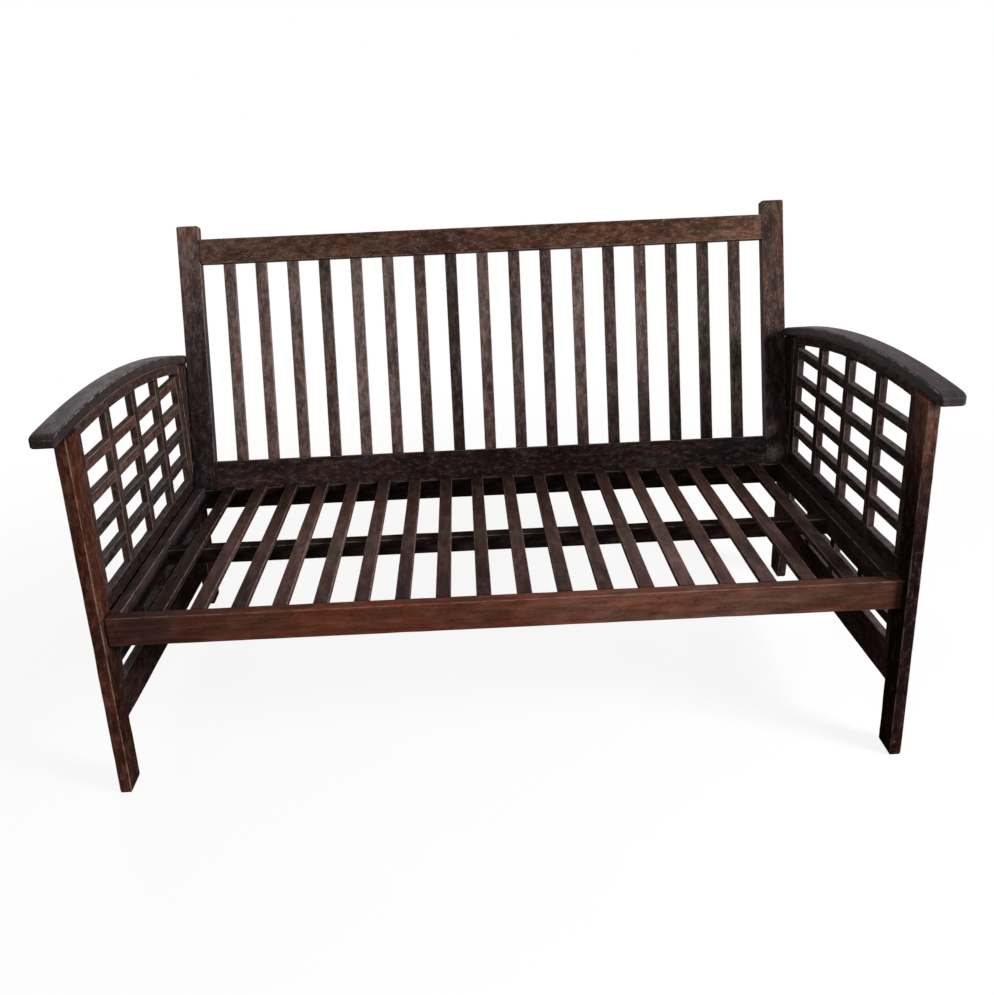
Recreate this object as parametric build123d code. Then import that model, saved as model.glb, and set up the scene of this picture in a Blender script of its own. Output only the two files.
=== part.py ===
from build123d import *
import math
import os

# A low slatted settle: two lattice arms, a slatted seat and a leaning slatted back.
# All lengths are millimetres. X runs across the settle, Y from front to back, Z up.
# Sizes and places are those of the frame before it tips back. Its rear feet are cut shorter,
# so at the end the whole frame is turned by the rake and stands level on the floor.

# Width between the arms, height of the seat and tilt of the whole frame
inner_width = 1300.0            # between the facing sides of the left and right posts
seat_height = 323.5             # top of the seat's rails and slats, above the front feet
frame_rake = 2.5                # degrees by which the frame tips back

# Room left in joints, and the reach of every cut past the wood
joint_room = 1.0                # behind the end of a tenon
curve_room = 0.2                # between two curved faces that meet
overrun = 5.0

# Posts
post_thickness = 20.5
front_post_depth = 52.0
rear_post_depth = 71.5
rear_foot_depth = 52.0          # the rear post tapers to this below the bottom rail
post_clear_depth = 631.5        # between the front and the rear post of one arm
post_rounding = 1.5
post_tenon_height = 9.0         # into the armrest
post_tenon_shoulder = 11.0      # from a tenon to the post's front and rear faces
post_tenon_thickness = 9.0

# Armrests
armrest_width = 41.0
armrest_thickness = 18.8
armrest_top_height = 656.5
armrest_crown_depth = 210.0     # from the front posts' front faces back to the highest point
armrest_rear_drop = 59.6        # from the highest point down to the rear end
armrest_nose = 41.0             # ahead of the front post
armrest_tail = 9.5              # behind the rear post
armrest_corner_rounding = 10.0
armrest_inner_corner_rounding = 5.0
armrest_edge_rounding = 3.5

# Rails of an arm
arm_rail_thickness = 16.0
arm_rail_height = 70.5
arm_rail_rounding = 1.5
middle_rail_rise = 22.5         # from the seat's top to the middle rail's top
bottom_rail_top = 189.0
arch_rail_height = 19.0
rail_tenon_length = 16.0
rail_tenon_thickness = 8.0
rail_tenon_shoulder = 9.0
arch_tenon_height = 9.0

# Lattice of an arm
lattice_thickness = 14.3
upright_width = 24.0
upright_count = 5
bar_height = 18.4
bar_count = 4
first_bar_rise = 48.6           # from the middle rail's top to the first bar's centre line
top_bar_drop = 56.8             # from the arch rail's highest underside to the top bar's centre line
lower_bar_share = 0.41          # of the clear height between the bottom and the middle rail
stub_length = 7.0
stub_thickness = 7.0
stub_shoulder = 4.0

# Seat frame
front_rail_setback = 13.0       # behind the posts' front faces
front_rail_thickness = 25.4
front_rail_height = 50.0
front_tenon_length = 14.0
front_tenon_thickness = 12.0
side_rail_gap = 2.0             # beside the posts
side_rail_thickness = 20.5
side_rail_height = 41.5
rear_rail_thickness = 25.4
rear_rail_height = 43.0
seat_rail_rounding = 1.5
seat_tenon_length = 12.0
seat_tenon_thickness = 10.0
seat_tenon_shoulder = 8.0
beam_front_depth = 334.4        # from the posts' front faces back to the centre beam
beam_thickness = 29.6
beam_height = 31.2

# Seat slats
seat_slat_count = 18
seat_slat_width = 25.4
seat_slat_thickness = 11.0
seat_slat_end_gap = 44.5        # between a side rail and the slat beside it
seat_slat_rounding = 2.0
slat_tongue_thickness = 5.4
slat_tongue_length = 10.0

# Back frame, measured along its own leaning face
back_lean = 15.4                # degrees from upright
back_lead = 14.3                # the foot's front edge stands this far ahead of the rear posts
stile_gap = 2.3                 # beside the posts
stile_width = 46.8
stile_thickness = 28.1
stile_length = 563.5
stile_rounding = 2.0
back_rail_thickness = 24.0
back_rail_rounding = 1.5
lower_back_rail_height = 62.4
top_rail_rise = 482.7           # from the foot's front edge to the top rail's underside
top_rail_height = 51.8
back_tenon_length = 26.0
back_tenon_thickness = 9.0
back_tenon_shoulder = 8.0

# Back slats
back_slat_count = 17
back_slat_width = 25.0
back_slat_thickness = 9.7
back_slat_recess = 6.0          # behind the rails' front faces
back_slat_end_gap = 46.8        # between a stile and the slat beside it
back_slat_let_in = 12.0
back_slat_rounding = 1.5

# Bolts that hold the arms to the seat and the back
bolt_radius = 3.0
bolt_clearance = 0.2
thread_clearance = 0.05
bolt_head_radius = 7.5
bolt_head_height = 3.0
bolt_head_rounding = 1.8
spacer_radius = 8.0
insert_radius = 5.0
insert_length = 14.0
bolt_tip_setback = 1.0          # from the insert's far end
seat_bolt_inset = 100.0         # from each post
back_bolt_rise = 52.0           # from the foot to the first bolt
back_bolt_spacing = 60.0

# Places that follow from the sizes above, for the arm on the right
post_inner = inner_width / 2
post_outer = post_inner + post_thickness
arm_middle = (post_inner + post_outer) / 2
front_post_rear = front_post_depth
rear_post_front = front_post_rear + post_clear_depth
rear_post_rear = rear_post_front + rear_post_depth
armrest_rear = rear_post_rear + armrest_tail
arc_run = armrest_rear - armrest_crown_depth
armrest_top_radius = (arc_run ** 2 + armrest_rear_drop ** 2) / (2 * armrest_rear_drop)
arc_centre_height = armrest_top_height - armrest_top_radius
armrest_low_radius = armrest_top_radius - armrest_thickness
arch_top_radius = armrest_low_radius - curve_room
arch_low_radius = arch_top_radius - arch_rail_height
middle_rail_top = seat_height + middle_rail_rise
middle_rail_low = middle_rail_top - arm_rail_height
bottom_rail_low = bottom_rail_top - arm_rail_height
arm_rail_inner = arm_middle - arm_rail_thickness / 2
arm_rail_outer = arm_middle + arm_rail_thickness / 2
lattice_inner = arm_middle - lattice_thickness / 2
lattice_outer = arm_middle + lattice_thickness / 2
upright_pitch = (post_clear_depth - upright_width) / (upright_count - 1)
uprights = [front_post_rear + upright_width / 2 + i * upright_pitch for i in range(upright_count)]
first_bar = middle_rail_top + first_bar_rise
top_bar = arc_centre_height + arch_low_radius - top_bar_drop
bar_pitch = (top_bar - first_bar) / (bar_count - 1)
upper_bars = [first_bar + i * bar_pitch for i in range(bar_count)]
lower_bars = [bottom_rail_top + lower_bar_share * (middle_rail_low - bottom_rail_top)]

# Places that follow from the sizes above, for the seat
front_rail_rear = front_rail_setback + front_rail_thickness
side_rail_outer = post_inner - side_rail_gap
side_rail_inner = side_rail_outer - side_rail_thickness
back_foot_front = rear_post_front - back_lead
slat_low = seat_height - seat_slat_thickness
tongue_top = slat_low + slat_tongue_thickness
slat_span = 2 * (side_rail_inner - seat_slat_end_gap) - seat_slat_width
seat_slats = [(i / (seat_slat_count - 1) - 1 / 2) * slat_span for i in range(seat_slat_count)]

# Places that follow from the sizes above, for the back
back_foot_height = tongue_top
stile_outer = post_inner - stile_gap
stile_inner = stile_outer - stile_width
back_slat_span = 2 * (stile_inner - back_slat_end_gap) - back_slat_width
back_slats = [(i / (back_slat_count - 1) - 1 / 2) * back_slat_span for i in range(back_slat_count)]
lean = math.radians(back_lean)
foot_depth = stile_thickness / math.cos(lean)

# Places of the bolts, as depth and height
seat_bolt_height = seat_height - side_rail_height / 2
seat_bolt_places = [
    (front_post_rear + seat_bolt_inset, seat_bolt_height),
    (rear_post_front - seat_bolt_inset, seat_bolt_height),
]
back_bolt_rises = [back_bolt_rise, back_bolt_rise + back_bolt_spacing]
back_bolt_places = [
    (back_foot_front + rise * math.tan(lean) + foot_depth / 2, back_foot_height + rise)
    for rise in back_bolt_rises
]


def block(left, right, front, rear, low, high):
    """Square-edged block between two limits on each axis."""
    corner = (Align.MIN, Align.MIN, Align.MIN)
    return Pos(left, front, low) * Box(right - left, rear - front, high - low, align=corner)


def eased(solid, axis, radius):
    """The solid with its edges along one axis rounded."""
    return fillet(solid.edges().filter_by(axis), radius)


def pin(left, right, depth, height, radius):
    """Cylinder along X between two limits."""
    length = right - left
    turned = Rot(Y=90) * Cylinder(radius, length, align=(Align.CENTER, Align.CENTER, Align.MIN))
    return Pos(left, depth, height) * turned


def arc_height(radius, depth):
    """Height, at one depth, of an arc about the armrest's centre."""
    return arc_centre_height + math.sqrt(radius ** 2 - (depth - armrest_crown_depth) ** 2)


def arc_edge(front, rear, radius):
    """Arc about the armrest's centre, as an edge of a side outline."""
    depths = (front, (front + rear) / 2, rear)
    return ThreePointArc(*[(depth, arc_height(radius, depth)) for depth in depths])


def side_board(left, right, low_edge, high_edge):
    """Board between two limits in X, closed upright between a lower and an upper edge."""
    ends = [Line(low_edge @ 0, high_edge @ 0), Line(low_edge @ 1, high_edge @ 1)]
    outline = make_face([low_edge, high_edge] + ends)
    return Pos(X=left) * extrude(Plane.YZ * outline, right - left)


def under_arc(left, right, front, rear, low, radius):
    """Board with a flat underside and a top that follows an arc."""
    return side_board(left, right, Line((front, low), (rear, low)), arc_edge(front, rear, radius))


def mirrored(solid):
    """The same piece for the left side."""
    return mirror(solid, about=Plane.YZ)


def rail_tenon(face, reach, low, high):
    """Tenon of an arm rail, from a post's face into the post by a signed reach."""
    half = rail_tenon_thickness / 2
    front, rear = sorted((face, face + reach))
    return block(arm_middle - half, arm_middle + half, front, rear, low, high)


def tenon_heights(face):
    """Lower and upper limits of the three rail tenons in the post with this face."""
    arch_middle = arc_height((arch_top_radius + arch_low_radius) / 2, face)
    return [
        (bottom_rail_low + rail_tenon_shoulder, bottom_rail_top - rail_tenon_shoulder),
        (middle_rail_low + rail_tenon_shoulder, middle_rail_top - rail_tenon_shoulder),
        (arch_middle - arch_tenon_height / 2, arch_middle + arch_tenon_height / 2),
    ]


def post_tenon(front, rear, rise):
    """Tenon on top of a post, rising above the armrest's underside."""
    half = post_tenon_thickness / 2
    front += post_tenon_shoulder
    rear -= post_tenon_shoulder
    low = arc_height(armrest_low_radius, front) - rail_tenon_length
    high = arc_height(armrest_low_radius, (front + rear) / 2) + rise
    return block(arm_middle - half, arm_middle + half, front, rear, low, high)


def front_rail_tenon(reach):
    """Tenon of the seat's front rail in the right front post."""
    middle = front_rail_setback + front_rail_thickness / 2
    half = front_tenon_thickness / 2
    low = seat_height - front_rail_height + seat_tenon_shoulder
    high = seat_height - seat_tenon_shoulder
    return block(post_inner, post_inner + reach, middle - half, middle + half, low, high)


def floor_point(depth):
    """Depth and height of the floor under the frame, which rises to the rear by the rake."""
    return depth, depth * math.tan(math.radians(frame_rake))


def post(front, rear, foot_front, rail_face, direction):
    """Post of the right arm, with the mortises for the three arm rails."""
    outline = make_face(Polyline(
        floor_point(foot_front), floor_point(rear), (rear, armrest_top_height),
        (front, armrest_top_height), (front, bottom_rail_low), close=True,
    ))
    body = Pos(X=post_inner) * extrude(Plane.YZ * outline, post_thickness)
    body = fillet(body.edges(), post_rounding)
    body &= under_arc(
        post_inner - overrun, post_outer + overrun, front - overrun, rear + overrun,
        0 - overrun, arch_top_radius,
    )
    body += post_tenon(front, rear, post_tenon_height)
    for low, high in tenon_heights(rail_face):
        body -= rail_tenon(rail_face, direction * (rail_tenon_length + joint_room), low, high)
    return body


def front_post():
    """Front post, which also takes the seat's front rail."""
    body = post(0, front_post_rear, 0, front_post_rear, -1)
    return body - front_rail_tenon(front_tenon_length + joint_room)


def rear_post():
    """Rear post with its tapered foot, bored for the bolts that hold the back."""
    foot_front = rear_post_rear - rear_foot_depth
    body = post(rear_post_front, rear_post_rear, foot_front, rear_post_front, 1)
    for depth, height in back_bolt_places:
        hole_radius = bolt_radius + bolt_clearance
        body -= pin(post_inner - overrun, post_outer + overrun, depth, height, hole_radius)
    return body


def armrest():
    """Arched armrest, flush with the posts inside and wider than them outside."""
    outer = post_inner + armrest_width
    low_edge = arc_edge(-armrest_nose, armrest_rear, armrest_low_radius)
    high_edge = arc_edge(-armrest_nose, armrest_rear, armrest_top_radius)
    body = side_board(post_inner, outer, low_edge, high_edge)
    corners = body.edges().filter_by(Axis.Z)
    body = fillet(corners.group_by(Axis.X)[-1], armrest_corner_rounding)
    corners = body.edges().filter_by(Axis.Z)
    body = fillet(corners.group_by(Axis.X)[0], armrest_inner_corner_rounding)
    broad_faces = body.faces().sort_by(SortBy.AREA)[-2:]
    body = fillet(broad_faces[0].edges() + broad_faces[1].edges(), armrest_edge_rounding)
    for front, rear in ((0, front_post_rear), (rear_post_front, rear_post_rear)):
        body -= post_tenon(front, rear, post_tenon_height + joint_room)
    return body


def stub(depth, face, reach):
    """Stub tenon of an upright, through a rail's face by a signed reach."""
    half_width = upright_width / 2 - stub_shoulder
    half = stub_thickness / 2
    low, high = sorted((face, face + reach))
    return block(arm_middle - half, arm_middle + half, depth - half_width, depth + half_width, low, high)


def arch_stub(depth, reach):
    """Stub tenon of an upright, up into the arch rail."""
    face = arc_height(arch_low_radius, depth)
    return stub(depth, face, reach) + stub(depth, face, -stub_length)


def arm_rail(low, high):
    """Straight rail between the posts, with its two tenons."""
    body = block(arm_rail_inner, arm_rail_outer, front_post_rear, rear_post_front, low, high)
    body = eased(body, Axis.Y, arm_rail_rounding)
    for face, reach in ((front_post_rear, -rail_tenon_length), (rear_post_front, rail_tenon_length)):
        body += rail_tenon(face, reach, low + rail_tenon_shoulder, high - rail_tenon_shoulder)
    return body


def middle_rail():
    """Rail beside the seat, morticed above and below and bored for the seat's bolts."""
    body = arm_rail(middle_rail_low, middle_rail_top)
    for depth in uprights:
        body -= stub(depth, middle_rail_top, -stub_length - joint_room)
        body -= stub(depth, middle_rail_low, stub_length + joint_room)
    for depth, height in seat_bolt_places:
        hole_radius = bolt_radius + bolt_clearance
        body -= pin(arm_rail_inner - overrun, arm_rail_outer + overrun, depth, height, hole_radius)
    return body


def bottom_rail():
    """Rail near the floor, morticed above."""
    body = arm_rail(bottom_rail_low, bottom_rail_top)
    for depth in uprights:
        body -= stub(depth, bottom_rail_top, -stub_length - joint_room)
    return body


def arch_rail():
    """Curved rail under the armrest, morticed below."""
    low_edge = arc_edge(front_post_rear, rear_post_front, arch_low_radius)
    high_edge = arc_edge(front_post_rear, rear_post_front, arch_top_radius)
    body = side_board(arm_rail_inner, arm_rail_outer, low_edge, high_edge)
    for face, direction in ((front_post_rear, -1), (rear_post_front, 1)):
        low, high = tenon_heights(face)[-1]
        body += rail_tenon(face, direction * rail_tenon_length, low, high)
    for depth in uprights:
        body -= arch_stub(depth, stub_length + joint_room)
    return body


def lapped(upright, depth, bars):
    """Upright with its outer half notched for each bar."""
    front = depth - upright_width / 2 - overrun
    rear = depth + upright_width / 2 + overrun
    for height in bars:
        low = height - bar_height / 2
        upright -= block(arm_middle, lattice_outer + overrun, front, rear, low, low + bar_height)
    return upright


def upper_upright(depth):
    """Upright from the middle rail up to the arch rail."""
    front = depth - upright_width / 2
    body = under_arc(
        lattice_inner, lattice_outer, front, front + upright_width, middle_rail_top,
        arch_low_radius - curve_room,
    )
    body += stub(depth, middle_rail_top, -stub_length) + arch_stub(depth, stub_length)
    return lapped(body, depth, upper_bars)


def lower_upright(depth):
    """Upright from the bottom rail up to the middle rail."""
    front = depth - upright_width / 2
    rear = front + upright_width
    body = block(lattice_inner, lattice_outer, front, rear, bottom_rail_top, middle_rail_low)
    body += stub(depth, bottom_rail_top, -stub_length) + stub(depth, middle_rail_low, stub_length)
    return lapped(body, depth, lower_bars)


def bar(height):
    """Level bar from post to post, with its inner half notched for each upright."""
    low = height - bar_height / 2
    high = low + bar_height
    body = block(lattice_inner, lattice_outer, front_post_rear, rear_post_front, low, high)
    for depth in uprights:
        front = depth - upright_width / 2
        rear = front + upright_width
        body -= block(lattice_inner - overrun, arm_middle, front, rear, low - overrun, high + overrun)
    return body


def lattice():
    """All uprights and bars of one arm, each a solid of its own."""
    pieces = [upper_upright(depth) for depth in uprights]
    pieces += [lower_upright(depth) for depth in uprights]
    pieces += [bar(height) for height in upper_bars + lower_bars]
    return pieces


def seat_tenon(face, reach):
    """Tenon of the right side rail, into the front or the rear rail by a signed reach."""
    middle = (side_rail_inner + side_rail_outer) / 2
    half = seat_tenon_thickness / 2
    front, rear = sorted((face, face + reach))
    low = seat_height - side_rail_height + seat_tenon_shoulder
    high = tongue_top - seat_tenon_shoulder
    return block(middle - half, middle + half, front, rear, low, high)


def both_sides(solid):
    """A solid together with its twin on the left."""
    return solid + mirrored(solid)


def slat_end(place, face, reach):
    """Tongue of a seat slat, into the front or the rear rail by a signed reach."""
    half = seat_slat_width / 2
    front, rear = sorted((face, face + reach))
    return block(place - half, place + half, front, rear, slat_low, tongue_top)


def front_rail():
    """Front rail of the seat, tenoned into the front posts."""
    low = seat_height - front_rail_height
    body = block(-post_inner, post_inner, front_rail_setback, front_rail_rear, low, seat_height)
    body = eased(body, Axis.X, seat_rail_rounding)
    body += both_sides(front_rail_tenon(front_tenon_length))
    body -= both_sides(seat_tenon(front_rail_rear, -seat_tenon_length - joint_room))
    for place in seat_slats:
        body -= slat_end(place, front_rail_rear, -slat_tongue_length - joint_room)
    return body


def rear_rail():
    """Rear rail of the seat, which also carries the back frame's foot."""
    low = tongue_top - rear_rail_height
    rear = back_foot_front + rear_rail_thickness
    body = block(-post_inner, post_inner, back_foot_front, rear, low, tongue_top)
    body -= both_sides(seat_tenon(back_foot_front, seat_tenon_length + joint_room))
    for place in seat_slats:
        body -= slat_end(place, back_foot_front, slat_tongue_length + joint_room)
    return body


def beam_tenon(reach):
    """Tenon of the centre beam in the right side rail."""
    middle = beam_front_depth + beam_thickness / 2
    half = seat_tenon_thickness / 2
    low = slat_low - beam_height + seat_tenon_shoulder
    high = slat_low - seat_tenon_shoulder
    return block(side_rail_inner, side_rail_inner + reach, middle - half, middle + half, low, high)


def centre_beam():
    """Beam under the middle of the seat slats."""
    rear = beam_front_depth + beam_thickness
    low = slat_low - beam_height
    body = block(-side_rail_inner, side_rail_inner, beam_front_depth, rear, low, slat_low)
    return body + both_sides(beam_tenon(seat_tenon_length))


def side_rail():
    """Side rail of the seat, with threaded inserts' holes in its outer face."""
    low = seat_height - side_rail_height
    body = block(side_rail_inner, side_rail_outer, front_rail_rear, back_foot_front, low, seat_height)
    body = eased(body, Axis.Y, seat_rail_rounding)
    body += seat_tenon(front_rail_rear, -seat_tenon_length)
    body += seat_tenon(back_foot_front, seat_tenon_length)
    body -= beam_tenon(seat_tenon_length + joint_room)
    for depth, height in seat_bolt_places:
        hole_radius = insert_radius + thread_clearance
        hole_front = side_rail_outer - insert_length
        body -= pin(hole_front, side_rail_outer + overrun, depth, height, hole_radius)
    return body


def seat_slat(place):
    """Seat slat from the front rail to the rear rail, with a tongue at each end."""
    half = seat_slat_width / 2
    body = block(place - half, place + half, front_rail_rear, back_foot_front, slat_low, seat_height)
    top_edges = body.edges().filter_by(Axis.Y).group_by(Axis.Z)[-1]
    body = fillet(top_edges, seat_slat_rounding)
    body += slat_end(place, front_rail_rear, -slat_tongue_length)
    body += slat_end(place, back_foot_front, slat_tongue_length)
    return body


def leaned(solid):
    """A piece of the back, turned from its own upright place to its leaning place."""
    return Pos(0, back_foot_front, back_foot_height) * Rot(X=-back_lean) * solid


def level_foot(solid):
    """A leaned piece cut level where the back stands on the rear rail."""
    rear = back_foot_front + foot_depth + overrun
    front = back_foot_front - overrun
    low = back_foot_height - stile_thickness
    return solid - block(-post_inner, post_inner, front, rear, low, back_foot_height)


def back_rail_limits(top):
    """Lower and upper limits of a back rail, before it leans."""
    if top:
        return top_rail_rise, top_rail_rise + top_rail_height
    return 0, lower_back_rail_height


def back_tenon(top, reach):
    """Tenon of a back rail in the right stile, before it leans."""
    low, high = back_rail_limits(top)
    middle = back_rail_thickness / 2
    half = back_tenon_thickness / 2
    low += back_tenon_shoulder
    high -= back_tenon_shoulder
    return block(stile_inner, stile_inner + reach, middle - half, middle + half, low, high)


def back_slat_block(place, room):
    """Slat of the back, before it leans, longer at both ends by the room given."""
    half = back_slat_width / 2
    front = back_slat_recess
    rear = front + back_slat_thickness
    low = lower_back_rail_height - back_slat_let_in - room
    high = top_rail_rise + back_slat_let_in + room
    solid = block(place - half, place + half, front, rear, low, high)
    return eased(solid, Axis.Z, back_slat_rounding)


def back_rail(top):
    """Top or lower rail of the back, morticed for the slats."""
    low, high = back_rail_limits(top)
    body = block(-stile_inner, stile_inner, 0, back_rail_thickness, low, high)
    body = eased(body, Axis.X, back_rail_rounding) if top else body
    body += both_sides(back_tenon(top, back_tenon_length))
    for place in back_slats:
        body -= back_slat_block(place, joint_room)
    return level_foot(leaned(body))


def stile():
    """Right stile of the back, leaning between the rear posts."""
    body = block(stile_inner, stile_outer, 0, stile_thickness, 0, stile_length)
    body = eased(body, Axis.Z, stile_rounding)
    top_edges = body.faces().sort_by(Axis.Z)[-1].edges()
    body = fillet(top_edges, stile_rounding)
    for top in (True, False):
        body -= back_tenon(top, back_tenon_length + joint_room)
    body = level_foot(leaned(body))
    for depth, height in back_bolt_places:
        hole_radius = insert_radius + thread_clearance
        hole_front = stile_outer - insert_length
        body -= pin(hole_front, stile_outer + overrun, depth, height, hole_radius)
    return body


def bolt_set(wood_outer, wood_inner, held_face, depth, height):
    """Bolt, spacer and threaded insert that hold a piece to the inside of an arm."""
    head = pin(wood_outer, wood_outer + bolt_head_height, depth, height, bolt_head_radius)
    rim = head.edges().filter_by(GeomType.CIRCLE).sort_by(Axis.X)[-1]
    head = fillet(rim, bolt_head_rounding)
    insert_end = held_face - insert_length
    shank = pin(insert_end + bolt_tip_setback, wood_outer, depth, height, bolt_radius)
    spacer = pin(held_face, wood_inner, depth, height, spacer_radius)
    spacer -= pin(held_face, wood_inner, depth, height, bolt_radius + bolt_clearance)
    insert = pin(insert_end, held_face, depth, height, insert_radius)
    insert -= pin(insert_end, held_face, depth, height, bolt_radius + thread_clearance)
    return [head + shank, spacer, insert]


def seat_bolts():
    """Bolts between the arms and the seat's side rails, both sides."""
    pieces = []
    for depth, height in seat_bolt_places:
        pieces += bolt_set(arm_rail_outer, arm_rail_inner, side_rail_outer, depth, height)
    return pieces + [mirrored(piece) for piece in pieces]


def back_bolts():
    """Bolts between the rear posts and the back's stiles, both sides."""
    pieces = []
    for depth, height in back_bolt_places:
        pieces += bolt_set(post_outer, post_inner, stile_outer, depth, height)
    return pieces + [mirrored(piece) for piece in pieces]


def arm_nodes():
    """The nodes of both arms."""
    right = {
        "front_post": front_post(),
        "rear_post": rear_post(),
        "armrest": armrest(),
        "arch_rail": arch_rail(),
        "middle_rail": middle_rail(),
        "bottom_rail": bottom_rail(),
    }
    nodes = {}
    for name, solid in right.items():
        nodes["right_" + name] = [solid]
        nodes["left_" + name] = [mirrored(solid)]
    pieces = lattice()
    nodes["right_lattice"] = pieces
    nodes["left_lattice"] = [mirrored(piece) for piece in pieces]
    return nodes


def seat_nodes():
    """The nodes of the seat."""
    side = side_rail()
    nodes = {
        "seat_front_rail": [front_rail()],
        "seat_rear_rail": [rear_rail()],
        "seat_right_rail": [side],
        "seat_left_rail": [mirrored(side)],
        "seat_centre_beam": [centre_beam()],
        "seat_bolts": seat_bolts(),
    }
    for number, place in enumerate(seat_slats, start=1):
        nodes[f"seat_slat_{number:02d}"] = [seat_slat(place)]
    return nodes


def back_nodes():
    """The nodes of the back."""
    right_stile = stile()
    nodes = {
        "back_right_stile": [right_stile],
        "back_left_stile": [mirrored(right_stile)],
        "back_top_rail": [back_rail(True)],
        "back_lower_rail": [back_rail(False)],
        "back_bolts": back_bolts(),
    }
    for number, place in enumerate(back_slats, start=1):
        nodes[f"back_slat_{number:02d}"] = [level_foot(leaned(back_slat_block(place, 0)))]
    return nodes


def write_nodes(nodes):
    """Write each node, tipped back, with the origin on the floor under the middle of the settle."""
    tipped = {
        name: [Rot(X=-frame_rake) * solid for piece in pieces for solid in piece.solids()]
        for name, pieces in nodes.items()
    }
    box = Compound([solid for solids in tipped.values() for solid in solids]).bounding_box()
    middle = (box.min.Y + box.max.Y) / 2
    os.makedirs("parts", exist_ok=True)
    for name, solids in tipped.items():
        placed = [Pos(Y=-middle) * solid for solid in solids]
        shape = placed[0] if len(placed) == 1 else Compound(children=placed)
        export_step(shape, f"parts/{name}.step")
    print(f"Depth from the front feet back to the middle of the box: {middle:.3f}")


write_nodes(arm_nodes() | seat_nodes() | back_nodes())
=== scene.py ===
import math
import random

import bmesh
import bpy
from mathutils import Matrix, Vector, noise


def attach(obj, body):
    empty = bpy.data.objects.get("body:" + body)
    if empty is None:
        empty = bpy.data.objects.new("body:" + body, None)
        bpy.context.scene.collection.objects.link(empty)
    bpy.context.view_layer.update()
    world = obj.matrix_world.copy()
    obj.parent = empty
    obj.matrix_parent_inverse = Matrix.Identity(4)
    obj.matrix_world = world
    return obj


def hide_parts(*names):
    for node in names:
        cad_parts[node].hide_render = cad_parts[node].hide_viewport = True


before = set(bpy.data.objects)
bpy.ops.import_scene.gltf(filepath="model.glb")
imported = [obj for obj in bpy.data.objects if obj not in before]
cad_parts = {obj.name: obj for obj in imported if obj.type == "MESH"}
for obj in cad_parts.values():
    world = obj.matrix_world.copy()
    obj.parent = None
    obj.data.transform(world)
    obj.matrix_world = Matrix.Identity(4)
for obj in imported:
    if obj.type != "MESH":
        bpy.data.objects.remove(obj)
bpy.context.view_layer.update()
random.seed(11)

# Lengths are metres. Places are those of the untipped frame: X across, depth from the front
# posts' front faces, height from the front feet. Everything is tipped back once at the end.
RAKE = math.radians(2.5)
MIDDLE_DEPTH = 0.434168
INNER_HALF = 0.650
SEAT_HEIGHT = 0.3235
EMBED = 0.003                   # how far a hidden end reaches into its neighbour
HAIR = 0.0003                   # smallest step that counts, for seams and cuts

# Arms
POST_THICKNESS = 0.0205
FRONT_POST_DEPTH = 0.052
REAR_POST_DEPTH = 0.0715
REAR_FOOT_DEPTH = 0.052
POST_CLEAR = 0.6315
ARMREST_WIDTH = 0.041
ARMREST_THICKNESS = 0.0188
ARMREST_TOP = 0.6565
ARMREST_CROWN = 0.210
ARMREST_DROP = 0.0596
ARMREST_NOSE = 0.041
ARMREST_TAIL = 0.0095
ARM_RAIL_THICKNESS = 0.016
ARM_RAIL_HEIGHT = 0.0705
MIDDLE_RAIL_TOP = SEAT_HEIGHT + 0.0225
BOTTOM_RAIL_TOP = 0.189
ARCH_RAIL_HEIGHT = 0.019
LATTICE_THICKNESS = 0.0143
UPRIGHT_WIDTH = 0.024
UPRIGHT_COUNT = 5
BAR_HEIGHT = 0.0184
BAR_COUNT = 4
FIRST_BAR_RISE = 0.0486
TOP_BAR_DROP = 0.0568
LOWER_BAR_SHARE = 0.41
LATTICE_STEP = 0.0006           # between the faces of crossing uprights and bars
NOSE_ROLL = 0.020               # length over which the armrest's top rolls down to its tip
NOSE_DROP = 0.0055              # how far it rolls down
NOSE_CUTS = 6
INNER_CORNER = 0.006            # corner radii of an armrest, seen from above
OUTER_CORNER = 0.010
FOOT_EASE = 0.0055              # rounding of a post's foot

# Seat
FRONT_RAIL = (0.013, 0.0254, 0.0500)        # setback, thickness, height
SIDE_RAIL = (0.002, 0.0205, 0.0415)         # gap beside the post, thickness, height
REAR_RAIL = (0.0254, 0.043)                 # thickness, height
BEAM = (0.3344, 0.0296, 0.0312)             # front depth, thickness, height
SEAT_SLAT = (0.0254, 0.011)                 # width, thickness
SEAT_SLAT_COUNT = 18
SEAT_SLAT_END_GAP = 0.0445
TONGUE_THICKNESS = 0.0054

# Back
LEAN = math.radians(15.4)
BACK_LEAD = 0.0143                          # how far the back's foot stands before the rear posts
STILE = (0.0023, 0.0468, 0.0281, 0.5635)    # gap beside the post, width, thickness, length
STILE_EASE = 0.0045                         # rounding of a stile's top
BACK_RAIL_THICKNESS = 0.024
LOWER_BACK_RAIL = (0.0, 0.0624)             # low and high edge, up the back
TOP_BACK_RAIL = (0.4827, 0.5345)
BACK_SLAT = (0.006, 0.0250, 0.0097)         # recess, width, thickness
BACK_SLAT_COUNT = 17
BACK_SLAT_END_GAP = 0.0468

# Wear of the shape
WEAR_REACH = 0.004              # how far from an arris the wear starts
KNOCK_GAIN = 2.6                # how much more a knocked place loses
EVEN_LOSS = 0.35                # share of the full depth that every arris loses
FACE_LOSS = 0.00012             # how much a face loses near its arrises, even where none is knocked
KNOCKS = (22, 40)               # knocks per metre along a board and across it
WAVES = (6, 25)                 # waves per metre along a board and across it
WAVE_SEED = 3.1                 # keeps the waves apart from the knocks
SLAT_TRAITS = {"rounding": 0.0012, "depth": 0.0002}
LATTICE_TRAITS = {"rounding": 0.0007, "step": 0.02, "depth": 0.0002}

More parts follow.
